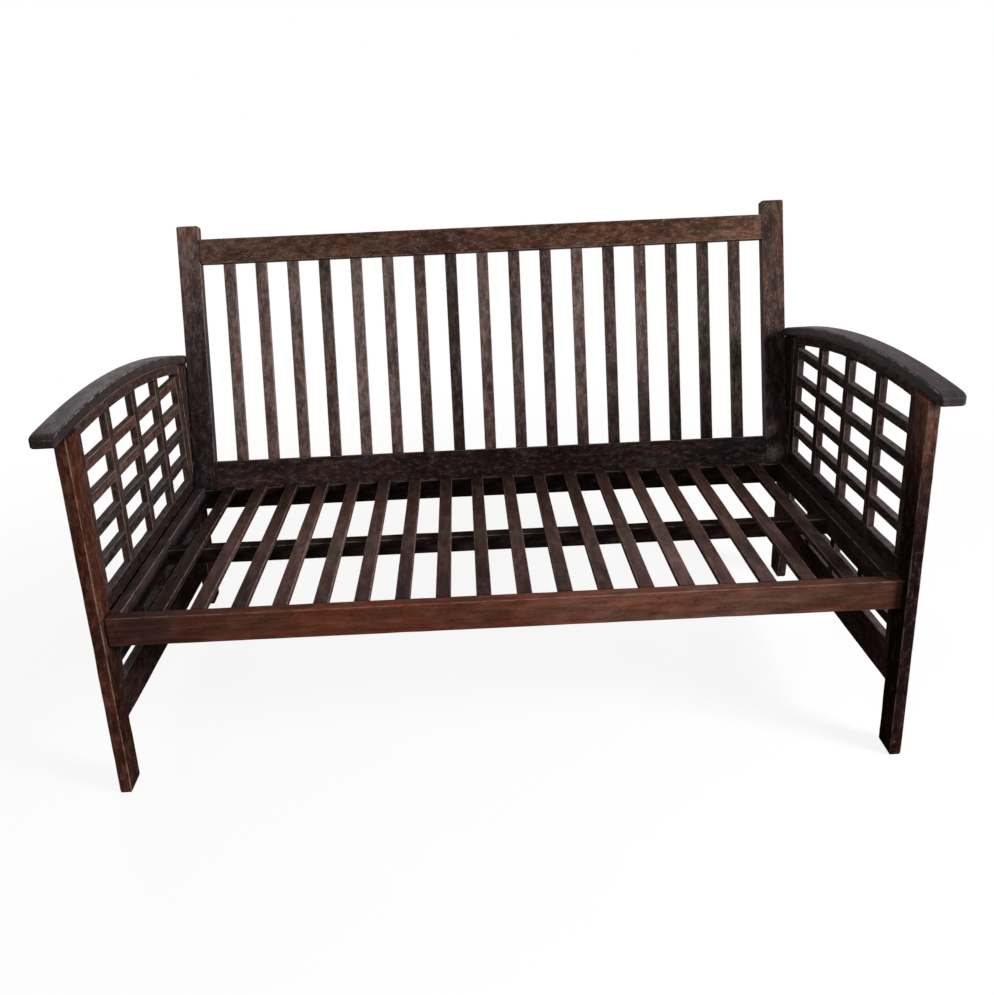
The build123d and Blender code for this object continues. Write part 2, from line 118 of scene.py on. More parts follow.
# Cuts of the mesh
SHARP = math.radians(30)        # least angle of an edge that gets rounded
BEVEL_SEGMENTS = 3
CORNER_STEPS = 6
EASE_SHARES = (0.06, 0.18, 0.36, 0.6, 1.0)  # where an eased end is cut, as shares of the easing

# Chance: lightness is a share of the board's own, and the seed is a place in the noises
SEEDS = (0, 60)
BOARD_SHADES = (0.9, 1.1)
SEAT_SLAT_SHADES = (0.8, 1.15)
BACK_SLAT_SHADES = (0.8, 1.2)

# Pale wood of a rubbed patch, of an arris and of a fleck is the board's tint, times a gain, plus a lift
WORN_GAIN = (1.25, 1.25, 1.25)
WORN_LIFT = (0.035, 0.027, 0.024)
WORN_STRENGTH = 0.4
EDGE_GAIN = (1.6, 1.6, 1.6)
EDGE_LIFT = (0.085, 0.064, 0.056)
# grey lift of the armrest's gripped inner arris: wear, with a painted highlight on it
GRIP_WEAR_AND_HIGHLIGHT = (0.11, 0.10, 0.095)
FLECK_GAIN = (2.0, 2.0, 2.0)
FLECK_LIFT = (0.032, 0.027, 0.026)
FLECK_STRENGTH = 0.65
PIT = (0.008, 0.005, 0.005, 1.0)
PIT_STRENGTH = 0.6
# grey of dust on what faces up, with a painted sheen of the sky in it
DUST_AND_SHEEN = (0.130, 0.115, 0.118, 1.0)
DIRT = (0.006, 0.005, 0.005, 1.0)
DIRT_REACH = 0.0025             # how far from a joint dirt lies
DIRT_STRENGTH = 0.7
WARM_CAST = (1.12, 0.94, 0.88, 1.0)
COOL_CAST = (0.93, 1.02, 1.05, 1.0)
ARRIS_WIDTH = (0.0012, 0.0030)  # least and greatest width of a pale arris

# Scales of the noises, along, across and through a board, per metre
BROAD_STAIN = (9.0, 38.0, 38.0)
SHORT_STREAKS = (60.0, 210.0, 210.0)
LONG_STREAKS = (14.0, 240.0, 240.0)
FIBRES = (120.0, 1100.0, 1100.0)
WIDE_BLOTCHES = (24.0, 60.0, 60.0)
FINE_BLOTCHES = (50.0, 105.0, 105.0)
SPECKS = (150.0, 290.0, 290.0)
HUE_DRIFT = (14.0, 45.0, 45.0)
RUBBING = (45.0, 120.0, 120.0)

# Steel of the bolts
BARE_STEEL = (0.30, 0.28, 0.26, 1.0)
RUST = (0.11, 0.055, 0.03, 1.0)
RUST_SPOTS = (260.0, 260.0, 260.0)
TURNING_MARKS = (40.0, 2200.0, 2200.0)

# Camera, solved from the photograph: place in the untipped frame, angles in radians, rest in pixels
CAMERA_PLACE = (-0.0440, -1.5714, 1.0542)
CAMERA_YAW = -0.0094
CAMERA_PITCH = 0.3766
CAMERA_ROLL = 0.0441
FOCAL_LENGTH = 1077.09
IMAGE_CENTRE = (484.54, 541.28)
IMAGE_SIZE = (994, 995)
SENSOR_WIDTH = 36

# Stage
WHITE = (1.0, 1.0, 1.0, 1.0)
FLOOR_SIZE = 60
GLOW_START = 0.9                # distance from the middle where the floor starts to melt into white
GLOW_END = 2.1
GLOW_NEAR = 0.88                # share of the floor that glows near the settle
FLOOR_COLOUR = (0.9, 0.9, 0.9, 1.0)
FLOOR_BOUNCE = (0.10, 0.095, 0.09, 1.0)         # what the floor throws back on the settle
ROOM_LIGHT = 0.15
LAMPS = (                       # name, place, target, size, power
    ("key", (3.0, -2.0, 1.75), (0, 0, 0.45), 1.2, 200),
    ("front", (-0.5, -2.3, 2.6), (0, 0, 0.4), 1.8, 30),
    ("rear", (-1.5, 2.8, 2.2), (0, 0, 0.4), 1.6, 40),
)

# Places that follow
POST_MIDDLE = INNER_HALF + POST_THICKNESS / 2
REAR_POST_FRONT = FRONT_POST_DEPTH + POST_CLEAR
REAR_POST_REAR = REAR_POST_FRONT + REAR_POST_DEPTH
ARMREST_REAR = REAR_POST_REAR + ARMREST_TAIL
ARC_RUN = ARMREST_REAR - ARMREST_CROWN
TOP_RADIUS = (ARC_RUN ** 2 + ARMREST_DROP ** 2) / (2 * ARMREST_DROP)
ARC_CENTRE = ARMREST_TOP - TOP_RADIUS
LOW_RADIUS = TOP_RADIUS - ARMREST_THICKNESS
ARCH_LOW_RADIUS = LOW_RADIUS - ARCH_RAIL_HEIGHT
BACK_FOOT_FRONT = REAR_POST_FRONT - BACK_LEAD
SLAT_LOW = SEAT_HEIGHT - SEAT_SLAT[1]
BACK_FOOT_HEIGHT = SLAT_LOW + TONGUE_THICKNESS
SIDE_RAIL_INNER = INNER_HALF - SIDE_RAIL[0] - SIDE_RAIL[1]
STILE_INNER = INNER_HALF - STILE[0] - STILE[1]
ARM_RUN = POST_CLEAR + 2 * EMBED                # length of an arm's rails and bars
LATTICE_HALF = (LATTICE_THICKNESS - LATTICE_STEP) / 2
SEAT_RUN_FRONT = FRONT_RAIL[0] + FRONT_RAIL[1] - EMBED
SEAT_RUN = BACK_FOOT_FRONT + EMBED - SEAT_RUN_FRONT     # length of the side rails and seat slats
TIP = Matrix.Translation((0, -MIDDLE_DEPTH, 0)) @ Matrix.Rotation(-RAKE, 4, "X")


def arc_height(radius, depth):
    """Height of an arc about the armrest's centre, at one depth."""
    return ARC_CENTRE + math.sqrt(radius ** 2 - (depth - ARMREST_CROWN) ** 2)


def floor_height(depth):
    """Height of the floor under the untipped frame."""
    return depth * math.tan(RAKE)


def between(low, high, share):
    """Value at a share of the way from low to high."""
    return low + (high - low) * share


def leaned(x, y, z):
    """A point of the back, from its own upright place to its leaning place."""
    depth = BACK_FOOT_FRONT + y * math.cos(LEAN) + z * math.sin(LEAN)
    return Vector((x, depth, BACK_FOOT_HEIGHT - y * math.sin(LEAN) + z * math.cos(LEAN)))


# Node helpers
class Nodes:
    """Adds shader nodes to one tree, with values or sockets as inputs."""

    def __init__(self, material):
        material.use_nodes = True
        self.tree = material.node_tree
        self.tree.nodes.clear()

    def add(self, kind, inputs=(), **settings):
        node = self.tree.nodes.new(kind)
        for name, value in settings.items():
            setattr(node, name, value)
        for key, value in dict(inputs).items():
            if isinstance(value, bpy.types.NodeSocket):
                self.tree.links.new(value, node.inputs[key])
            else:
                node.inputs[key].default_value = value
        return node

    def math(self, operation, first, second=0.0, clamp=False):
        node = self.add("ShaderNodeMath", {0: first, 1: second}, operation=operation, use_clamp=clamp)
        return node.outputs[0]

    def remap(self, value, low, high, out_low=0.0, out_high=1.0):
        """Smooth step from one range of values to another."""
        keys = {0: value, 1: low, 2: high, 3: out_low, 4: out_high}
        return self.add("ShaderNodeMapRange", keys, interpolation_type="SMOOTHSTEP").outputs[0]

    def mix(self, share, first, second):
        """A share of the second colour over the first."""
        keys = {0: share, 6: first, 7: second}
        return self.add("ShaderNodeMix", keys, data_type="RGBA").outputs[2]

    def times(self, first, *others, clamp=False):
        """Product of two or more values, held between 0 and 1 if asked for."""
        for second in others[:-1]:
            first = self.math("MULTIPLY", first, second)
        return self.math("MULTIPLY", first, others[-1], clamp)

    def vector(self, operation, *values):
        """Vector arithmetic, on colours too."""
        return self.add("ShaderNodeVectorMath", enumerate(values), operation=operation).outputs[0]

    def noise(self, place, scale, detail=4.0, roughness=0.55):
        """Noise over the board, with its own scale along, across and through it, per metre."""
        scaled = self.vector("MULTIPLY", place, scale)
        keys = {"Vector": scaled, "Scale": 1.0, "Detail": detail, "Roughness": roughness}
        return self.add("ShaderNodeTexNoise", keys).outputs[0]

    def bump(self, strength, distance, height):
        """Normal of a relief."""
        keys = {"Strength": strength, "Distance": distance, "Height": height}
        return self.add("ShaderNodeBump", keys).outputs[0]


def median(nodes, first, second, third):
    """Middle one of three values."""
    low = nodes.math("MINIMUM", first, second)
    high = nodes.math("MAXIMUM", first, second)
    return nodes.math("MAXIMUM", low, nodes.math("MINIMUM", high, third))


def wood_material(name, dust_and_sheen, roughness, sheen, rubbed, mottle, fleck, streak_scale, blotch_scale,
                  one_arris=False):
    """Old stained hardwood: mottled stain, short fibres, worn patches, pale arrises, dust with a painted
    sheen on what faces up, joint dirt.

    mottle is how uneven the stain is, fleck how many pale flecks it has, each 0 to 1. rubbed is how
    pale the arrises are. one_arris keeps most of that to the inner top arris, where an armrest is
    gripped, and adds a grey lift there: wear, and a painted highlight of the rounded arris. Each point
    of a board carries its place on the board, the board's half sizes and its distance to a free end
    (room), the board's seed and wear and its distance to a joint (trait), and its tint.
    """
    material = bpy.data.materials.new(name)
    nodes = Nodes(material)
    place = nodes.add("ShaderNodeAttribute", attribute_name="place").outputs["Vector"]
    room = nodes.add("ShaderNodeAttribute", attribute_name="room").outputs["Vector"]
    trait = nodes.add("ShaderNodeAttribute", attribute_name="trait").outputs["Vector"]
    tint = nodes.add("ShaderNodeAttribute", attribute_name="tint").outputs["Color"]
    room_x, room_y, end = nodes.add("ShaderNodeSeparateXYZ", {0: room}).outputs
    seed, wear, joint = nodes.add("ShaderNodeSeparateXYZ", {0: trait}).outputs
    _, across, through = nodes.add("ShaderNodeSeparateXYZ", {0: place}).outputs
    shift = {0: seed, 1: nodes.times(seed, 0.37), 2: nodes.times(seed, 0.71)}
    grain = nodes.vector("ADD", place, nodes.add("ShaderNodeCombineXYZ", shift).outputs[0])

    broad = nodes.noise(grain, BROAD_STAIN, 4.0)
    streak = nodes.noise(grain, streak_scale, 4.0, 0.6)
    fibre = nodes.noise(grain, FIBRES, 2.0)
    blotch = nodes.noise(grain, blotch_scale, 5.0, 0.6)
    speck = nodes.noise(grain, SPECKS, 3.0, 0.6)
    hue = nodes.noise(grain, HUE_DRIFT, 3.0)
    rub = nodes.noise(grain, RUBBING, 5.0, 0.7)

    # Stain: four noises multiply the tint, and a fifth turns its hue
    tone = nodes.times(
        nodes.remap(broad, 0.32, 0.68, 1 - 0.30 * mottle, 1 + 0.30 * mottle),
        nodes.remap(streak, 0.34, 0.66, 0.80, 1.20),
        nodes.remap(blotch, 0.36, 0.64, 1 - 0.28 * mottle, 1 + 0.25 * mottle),
        nodes.remap(fibre, 0.35, 0.65, 0.85, 1.15),
    )
    colour = nodes.add("ShaderNodeVectorMath", {0: tint, 3: tone}, operation="SCALE").outputs[0]
    cast = nodes.mix(nodes.remap(hue, 0.38, 0.62), WARM_CAST, COOL_CAST)
    colour = nodes.vector("MULTIPLY", colour, cast)

    # Worn patches, pale flecks and dark pits
    worn_share = nodes.times(nodes.remap(blotch, 0.54, 0.70), wear, WORN_STRENGTH, clamp=True)
    colour = nodes.mix(worn_share, colour, nodes.vector("MULTIPLY_ADD", tint, WORN_GAIN, WORN_LIFT))
    spots = nodes.remap(speck, 0.62 - 0.07 * fleck, 0.70 - 0.07 * fleck)
    fields = nodes.remap(blotch, 0.54 - 0.12 * fleck, 0.66 - 0.12 * fleck)
    fleck_share = nodes.times(spots, fields, wear, FLECK_STRENGTH, clamp=True)
    colour = nodes.mix(fleck_share, colour, nodes.vector("MULTIPLY_ADD", tint, FLECK_GAIN, FLECK_LIFT))
    pits = nodes.remap(speck, 0.42, 0.34)
    pit_share = nodes.times(pits, nodes.remap(blotch, 0.50, 0.42), PIT_STRENGTH)
    colour = nodes.mix(pit_share, colour, PIT)

    # Pale arrises: the second nearest of a point's faces tells how near it is to an arris
    from_face_a = nodes.math("SUBTRACT", room_x, nodes.math("ABSOLUTE", across))
    from_face_b = nodes.math("SUBTRACT", room_y, nodes.math("ABSOLUTE", through))
    arris = median(nodes, from_face_a, from_face_b, end)
    width = nodes.remap(rub, 0.36, 0.66, *ARRIS_WIDTH)
    near = nodes.remap(nodes.math("DIVIDE", arris, width), 0.35, 1.0, 1.0, 0.0)
    arris_share = nodes.times(near, wear, nodes.remap(rub, 0.36, 0.54, 0.35, 1.0))
    edge = nodes.vector("MULTIPLY_ADD", tint, EDGE_GAIN, EDGE_LIFT)
    # The armrest's inner top arris: pale with wear where it is gripped, and a painted highlight
    if one_arris:
        edge = nodes.vector("ADD", edge, GRIP_WEAR_AND_HIGHLIGHT)
        arris_share = nodes.times(
            arris_share,
            nodes.remap(across, -0.004, 0.004, 1.0, 0.3),
            nodes.remap(through, -0.002, 0.002, 0.3, 1.0),
            nodes.remap(end, 0.004, 0.02, 0.2, 1.0),
        )
    colour = nodes.mix(nodes.times(arris_share, rubbed, clamp=True), colour, edge)

    # Dust on what faces up, with a painted sheen of the sky on it; dirt beside the joints
    normal = nodes.add("ShaderNodeNewGeometry").outputs["Normal"]
    up = nodes.add("ShaderNodeSeparateXYZ", {0: normal}).outputs[2]
    lying = nodes.remap(up, 0.45, 0.95)
    dust_and_sheen_share = nodes.times(lying, nodes.remap(blotch, 0.3, 0.65, 0.5, 1.0), dust_and_sheen)
    colour = nodes.mix(dust_and_sheen_share, colour, DUST_AND_SHEEN)
    colour = nodes.mix(nodes.remap(joint, 0.0, DIRT_REACH, DIRT_STRENGTH, 0.0), colour, DIRT)

    gloss = nodes.math("ADD", nodes.remap(blotch, 0.35, 0.7, roughness - 0.05, roughness + 0.12),
                       nodes.times(arris_share, 0.1))
    relief = nodes.math("ADD", nodes.times(streak, 0.5), nodes.times(fibre, 0.35))
    relief = nodes.math("ADD", relief, nodes.times(blotch, 0.8))
    relief = nodes.math("ADD", relief, nodes.times(speck, 0.3))
    bump = nodes.bump(0.35, 0.0009, relief)
    keys = {"Base Color": colour, "Roughness": gloss, "Specular IOR Level": sheen, "Normal": bump}
    shader = nodes.add("ShaderNodeBsdfPrincipled", keys)
    nodes.add("ShaderNodeOutputMaterial", {0: shader.outputs[0]})
    return material


def steel_material():
    """Dull darkened steel with turning marks and brown spots."""
    material = bpy.data.materials.new("old_steel")
    nodes = Nodes(material)
    place = nodes.add("ShaderNodeTexCoord").outputs["Object"]
    spots = nodes.noise(place, RUST_SPOTS, 5.0, 0.65)
    marks = nodes.noise(place, TURNING_MARKS, 2.0)
    colour = nodes.mix(nodes.remap(spots, 0.48, 0.66), BARE_STEEL, RUST)
    gloss = nodes.remap(spots, 0.4, 0.7, 0.34, 0.7)
    bump = nodes.bump(0.3, 0.0002, marks)
    keys = {"Base Color": colour, "Roughness": gloss, "Metallic": 0.9, "Normal": bump}
    shader = nodes.add("ShaderNodeBsdfPrincipled", keys)
    nodes.add("ShaderNodeOutputMaterial", {0: shader.outputs[0]})
    return material


MATERIALS = {
    "armrest": wood_material(
        "armrest_stain", dust_and_sheen=0.06, roughness=0.46, sheen=0.015, rubbed=1.3, mottle=0.5, fleck=0.2,
        streak_scale=SHORT_STREAKS, blotch_scale=WIDE_BLOTCHES, one_arris=True),
    "arm_wood": wood_material(
        "arm_stain", dust_and_sheen=0.5, roughness=0.52, sheen=0.0, rubbed=0.8, mottle=0.9, fleck=0.7,
        streak_scale=SHORT_STREAKS, blotch_scale=FINE_BLOTCHES),
    "seat_wood": wood_material(
        "seat_stain", dust_and_sheen=0.05, roughness=0.55, sheen=0.0, rubbed=0.8, mottle=0.45, fleck=0.2,
        streak_scale=LONG_STREAKS, blotch_scale=WIDE_BLOTCHES),
    "back_wood": wood_material(
        "back_stain", dust_and_sheen=0.25, roughness=0.54, sheen=0.015, rubbed=0.8, mottle=1.0, fleck=1.0,
        streak_scale=SHORT_STREAKS, blotch_scale=FINE_BLOTCHES),
}


# Boards
def corner_arc(centre_s, centre_a, radius, start):
    """Points of a rounded corner of a board's outline, seen square to its broad face."""
    angles = [start + math.pi / 2 * i / CORNER_STEPS for i in range(CORNER_STEPS + 1)]
    return [(centre_s + radius * math.cos(t), centre_a + radius * math.sin(t)) for t in angles]


def board_outline(length, half, corners):
    """Outline of a board, with its corner radii in order round it, from the start's low side."""
    spots = [(0, -half, 1, 1, math.pi), (length, -half, -1, 1, -math.pi / 2),
             (length, half, -1, -1, 0), (0, half, 1, -1, math.pi / 2)]
    points = []
    for radius, (s, a, inward_s, inward_a, start) in zip(corners, spots):
        if radius:
            points += corner_arc(s + inward_s * radius, a + inward_a * radius, radius, start)
        else:
            points.append((s, a))
    return points


def sliced(mesh, axis, places):
    """Cuts the mesh by planes square to one axis, without removing anything."""
    normal = [0, 0, 0]
    normal[axis] = 1
    for place in places:
        point = [0, 0, 0]
        point[axis] = place
        everything = mesh.verts[:] + mesh.edges[:] + mesh.faces[:]
        bmesh.ops.bisect_plane(mesh, geom=everything, dist=1e-6, plane_co=point, plane_no=normal)


def blank(length, half_a, half_b, rounding, corners, step, cuts):
    """Straight board with rounded arrises, cut finely enough to be bent and worn."""
    mesh = bmesh.new()
    outline = board_outline(length, half_a, corners)
    face = mesh.faces.new([mesh.verts.new((s, a, -half_b)) for s, a in outline])
    raised = bmesh.ops.extrude_face_region(mesh, geom=[face])["geom"]
    top = [part for part in raised if isinstance(part, bmesh.types.BMVert)]
    bmesh.ops.translate(mesh, vec=(0, 0, 2 * half_b), verts=top)
    bmesh.ops.recalc_face_normals(mesh, faces=mesh.faces[:])
    sharp = [edge for edge in mesh.edges if edge.calc_face_angle() > SHARP]
    bmesh.ops.bevel(mesh, geom=sharp, offset=rounding, segments=BEVEL_SEGMENTS, profile=0.5,
                    affect="EDGES", offset_type="OFFSET", clamp_overlap=True)
    flat = rounding + HAIR * 2
    sliced(mesh, 1, [flat - half_a, half_a - flat])
    sliced(mesh, 2, [flat - half_b, half_b - flat])
    sliced(mesh, 0, [flat, length - flat])
    count = max(2, round(length / step))
    sliced(mesh, 0, [length * i / count for i in range(1, count)] + list(cuts))
    return mesh


def wear_down(point, half_a, half_b, end, seed, depth):
    """Moves a point inwards: a little everywhere, more at the arrises, most where they are knocked."""
    s, a, b = point
    knock = noise.noise(Vector((s * KNOCKS[0] + seed, a * KNOCKS[1], b * KNOCKS[1] + seed)))
    wave = noise.noise(Vector((s * WAVES[0] + seed, seed * WAVE_SEED, a * WAVES[1])))
    near_a = max(0.0, 1 - (half_a - abs(a)) / WEAR_REACH)
    near_b = max(0.0, 1 - (half_b - abs(b)) / WEAR_REACH)
    near_end = max(0.0, 1 - end / WEAR_REACH)
    corner = sorted((near_a, near_b, near_end))[1]
    loss = depth * corner * (EVEN_LOSS + max(0.0, knock) * KNOCK_GAIN)
    flat_loss = FACE_LOSS * (1 + wave)
    a -= math.copysign(loss * near_a + flat_loss * near_a, a)
    b -= math.copysign(loss * near_b + flat_loss * near_b, b)
    return s, a, b


def eased(a, b, half_a, half_b, end, radius):
    """Draws a point near a free end in towards the board's middle line, by a quarter round."""
    if end >= radius:
        return a, b
    inset = radius - math.sqrt(radius ** 2 - (radius - max(end, 0)) ** 2)
    return a * (1 - inset / half_a), b * (1 - inset / half_b)


def tint_at(tint, share):
    """Tint at a share of a board's length, from one colour or from stops of share and colour."""
    if not isinstance(tint[0], tuple):
        return tint
    if share <= tint[0][0]:
        return tint[0][1]
    for (low, first), (high, second) in zip(tint, tint[1:]):
        if share <= high:
            return tuple(between(a, b, (share - low) / (high - low)) for a, b in zip(first, second))
    return tint[-1][1]


def board(name, nodes, slot, size, place, tint, wear=1.0, rounding=0.0015, corners=(0, 0, 0, 0),
          free=(False, False), step=0.03, depth=0.0004, ease=0, cuts=(), look=None):
    """Makes one board and hands it to the frame.

    size is its length and its half sizes along a and b. place turns a point on the board, with s along
    it from its start and a and b from its middle line, into one of the untipped frame. tint is one
    colour or stops along it. free says which ends show. look names a material other than the slot's
    own.
    """
    length, half_a, half_b = size
    cuts = list(cuts)
    if ease and free[0]:
        cuts += [ease * share for share in EASE_SHARES]
    if ease and free[1]:
        cuts += [length - ease * share for share in EASE_SHARES]
    mesh = blank(length, half_a, half_b, rounding, corners, step, cuts)
    layers = mesh.verts.layers
    layer_place = layers.float_vector.new("place")
    layer_room = layers.float_vector.new("room")
    layer_trait = layers.float_vector.new("trait")
    layer_tint = layers.float_color.new("tint")
    seed = random.uniform(*SEEDS)
    shade = random.uniform(*BOARD_SHADES)
    for vert in mesh.verts:
        s, a, b = vert.co
        low_end = s if free[0] else 1.0
        high_end = length - s if free[1] else 1.0
        low_joint = 1.0 if free[0] else s - EMBED
        high_joint = 1.0 if free[1] else length - EMBED - s
        end = min(low_end, high_end)
        vert[layer_place] = (s, a, b)
        vert[layer_room] = (half_a, half_b, end)
        vert[layer_trait] = (seed, wear, min(low_joint, high_joint))
        vert[layer_tint] = (*(shade * channel for channel in tint_at(tint, s / length)), 1.0)
        s, a, b = wear_down((s, a, b), half_a, half_b, end, seed, depth)
        if ease:
            a, b = eased(a, b, half_a, half_b, end, ease)
        vert.co = TIP @ place(s, a, b)
    bmesh.ops.recalc_face_normals(mesh, faces=mesh.faces[:])
    data = bpy.data.meshes.new(name)
    mesh.to_mesh(data)
    mesh.free()
    data.shade_smooth()
    piece = bpy.data.objects.new(name, data)
    bpy.context.scene.collection.objects.link(piece)
    data.materials.append(MATERIALS[look or slot])
    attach(piece, "root")
    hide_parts(*nodes)
    return piece


# Arms
def painted_seat_shade(piece, half_b, top, level):
    """Darkens a post's inner face up to a height: painted shade of the seat."""
    attributes = piece.data.attributes
    for spot, tint in zip(attributes["place"].data, attributes["tint"].data):
        s, _, b = spot.vector
        if b < 2 * HAIR - half_b and s < top:
            tint.color = (*(level * channel for channel in tint.color[:3]), 1.0)


def post(hand, side, kind, front, rear, foot_front, tint, inner=1.0):
    """Upright post, its foot cut to the floor and its top to the armrest."""
    half_a = (rear - front) / 2
    length = ARMREST_TOP
    taper_top = BOTTOM_RAIL_TOP - ARM_RAIL_HEIGHT

    def place(s, a, b):
        edge = between(foot_front, front, min(1.0, s / taper_top))
        depth = between(edge, rear, (a + half_a) / (2 * half_a))
        top = arc_height(LOW_RADIUS, depth) + HAIR
        height = between(floor_height(depth), top, s / length)
        return Vector((side * (POST_MIDDLE + b), depth, height))

    node = f"{hand}_{kind}"
    size = (length, half_a, POST_THICKNESS / 2)
    piece = board(f"{node}_board", [node], "arm_wood", size, place, tint, wear=1.25, free=(True, False),
                  step=0.022, depth=0.0006, ease=FOOT_EASE)
    # Painted shade of the seat on the post's inner face below the seat, at the level given by inner
    painted_seat_shade(piece, POST_THICKNESS / 2, SEAT_HEIGHT - FRONT_RAIL[2], inner)


def armrest(hand, side, tint):
    """Arched armrest with rounded ends, its top rolled down to the tip."""
    middle_radius = TOP_RADIUS - ARMREST_THICKNESS / 2
    half_b = ARMREST_THICKNESS / 2

    def place(s, a, b):
        depth = max(s, HAIR / 2) - ARMREST_NOSE
        x = INNER_HALF + ARMREST_WIDTH / 2 + a
        roll = max(0.0, 1 - s / NOSE_ROLL) ** 2 * NOSE_DROP
        b -= roll * ((b + half_b) / (2 * half_b))
        return Vector((side * x, depth, arc_height(middle_radius + b, depth)))

    size = (ARMREST_REAR + ARMREST_NOSE, ARMREST_WIDTH / 2, half_b)
    corners = (INNER_CORNER, INNER_CORNER, OUTER_CORNER, OUTER_CORNER)
    cuts = [NOSE_ROLL * i / NOSE_CUTS for i in range(1, NOSE_CUTS + 1)]
    board(f"{hand}_armrest_board", [f"{hand}_armrest"], "arm_wood", size, place, tint, rounding=0.004,
          corners=corners, free=(True, True), step=0.012, cuts=cuts, look="armrest")


def arm_rail(hand, side, kind, low, tint):
    """Straight rail between the posts of an arm."""
    def place(s, a, b):
        height = low + ARM_RAIL_HEIGHT / 2 + a
        return Vector((side * (POST_MIDDLE + b), FRONT_POST_DEPTH - EMBED + s, height))

    size = (ARM_RUN, ARM_RAIL_HEIGHT / 2, ARM_RAIL_THICKNESS / 2)
    node = f"{hand}_{kind}"
    board(f"{node}_board", [node], "arm_wood", size, place, tint, wear=0.6)


def arch_rail(hand, side, tint):
    """Curved rail under the armrest."""
    middle_radius = LOW_RADIUS - ARCH_RAIL_HEIGHT / 2

    def place(s, a, b):
        depth = FRONT_POST_DEPTH - EMBED + s
        return Vector((side * (POST_MIDDLE + b), depth, arc_height(middle_radius + a, depth)))

    size = (ARM_RUN, ARCH_RAIL_HEIGHT / 2 + HAIR, ARM_RAIL_THICKNESS / 2)
    board(f"{hand}_arch_rail_board", [f"{hand}_arch_rail"], "arm_wood", size, place, tint,
          rounding=0.0012, step=0.015)


def upright(hand, side, number, kind, depth, low, high, tint):
    """Upright of the lattice, flush with the inner side."""
    def place(s, a, b):
        return Vector((side * (POST_MIDDLE - LATTICE_STEP / 2 + b), depth + a, low - EMBED + s))

    size = (high - low + 2 * EMBED, UPRIGHT_WIDTH / 2, LATTICE_HALF)
    board(f"{hand}_{kind}_upright_{number}", [f"{hand}_lattice"], "arm_wood", size, place, tint,
          **LATTICE_TRAITS)


def bar(hand, side, name, height, tint):
    """Level bar of the lattice, flush with the outer side."""
    def place(s, a, b):
        x = side * (POST_MIDDLE + LATTICE_STEP / 2 + b)
        return Vector((x, FRONT_POST_DEPTH - EMBED + s, height + a))

    size = (ARM_RUN, BAR_HEIGHT / 2, LATTICE_HALF)
    board(f"{hand}_{name}", [f"{hand}_lattice"], "arm_wood", size, place, tint, **LATTICE_TRAITS)


def arm(hand, side, tints):
    """One arm, with its posts, rails, lattice and armrest."""
    post(hand, side, "front_post", 0, FRONT_POST_DEPTH, 0, tints["post"], tints["inner"])
    foot_front = REAR_POST_REAR - REAR_FOOT_DEPTH
    post(hand, side, "rear_post", REAR_POST_FRONT, REAR_POST_REAR, foot_front, tints["rear"])
    armrest(hand, side, tints["armrest"])
    middle_low = MIDDLE_RAIL_TOP - ARM_RAIL_HEIGHT
    arm_rail(hand, side, "middle_rail", middle_low, tints["middle"])
    arm_rail(hand, side, "bottom_rail", BOTTOM_RAIL_TOP - ARM_RAIL_HEIGHT, tints["bottom"])
    arch_rail(hand, side, tints["arch"])
    pitch = (POST_CLEAR - UPRIGHT_WIDTH) / (UPRIGHT_COUNT - 1)
    for i in range(UPRIGHT_COUNT):
        depth = FRONT_POST_DEPTH + UPRIGHT_WIDTH / 2 + i * pitch
        sides = (depth - UPRIGHT_WIDTH / 2, depth + UPRIGHT_WIDTH / 2)
        top = min(arc_height(ARCH_LOW_RADIUS, spot) for spot in sides)
        upright(hand, side, i + 1, "upper", depth, MIDDLE_RAIL_TOP, top, tints["upright"])
        upright(hand, side, i + 1, "lower", depth, BOTTOM_RAIL_TOP, middle_low, tints["upright"])
    first = MIDDLE_RAIL_TOP + FIRST_BAR_RISE
    last = ARC_CENTRE + ARCH_LOW_RADIUS - TOP_BAR_DROP
    for i in range(BAR_COUNT):
        height = between(first, last, i / (BAR_COUNT - 1))
        bar(hand, side, f"upper_bar_{i + 1}", height, tints["bars"][i])
    lower = between(BOTTOM_RAIL_TOP, middle_low, LOWER_BAR_SHARE)
    bar(hand, side, "lower_bar", lower, tints["bars"][0])


# Seat
def cross_board(node, half_length, front, thickness, low, height, tint, **traits):
    """Board of the seat that runs across the settle."""
    def place(s, a, b):
        return Vector((s - half_length, front + thickness / 2 + b, low + height / 2 + a))

    size = (2 * half_length, height / 2, thickness / 2)
    board(f"{node}_board", [node], "seat_wood", size, place, tint, **traits)


def side_rail(hand, side, tint):
    """Side rail of the seat."""
    def place(s, a, b):
        x = side * (SIDE_RAIL_INNER + SIDE_RAIL[1] / 2 + b)
        return Vector((x, SEAT_RUN_FRONT + s, SEAT_HEIGHT - SIDE_RAIL[2] / 2 + a))

    size = (SEAT_RUN, SIDE_RAIL[2] / 2, SIDE_RAIL[1] / 2)
    board(f"seat_{hand}_rail_board", [f"seat_{hand}_rail"], "seat_wood", size, place, tint)


def seat_slat(number, x, tint):
    """One slat of the seat."""
    def place(s, a, b):
        return Vector((x + a, SEAT_RUN_FRONT + s, SEAT_HEIGHT - SEAT_SLAT[1] / 2 + b))

    node = f"seat_slat_{number:02d}"
    size = (SEAT_RUN, SEAT_SLAT[0] / 2, SEAT_SLAT[1] / 2)
    board(f"{node}_board", [node], "seat_wood", size, place, tint, **SLAT_TRAITS)


def dimmed(stops, level):
    """The same stops of tint, lighter or darker."""
    return tuple((share, tuple(level * channel for channel in colour)) for share, colour in stops)
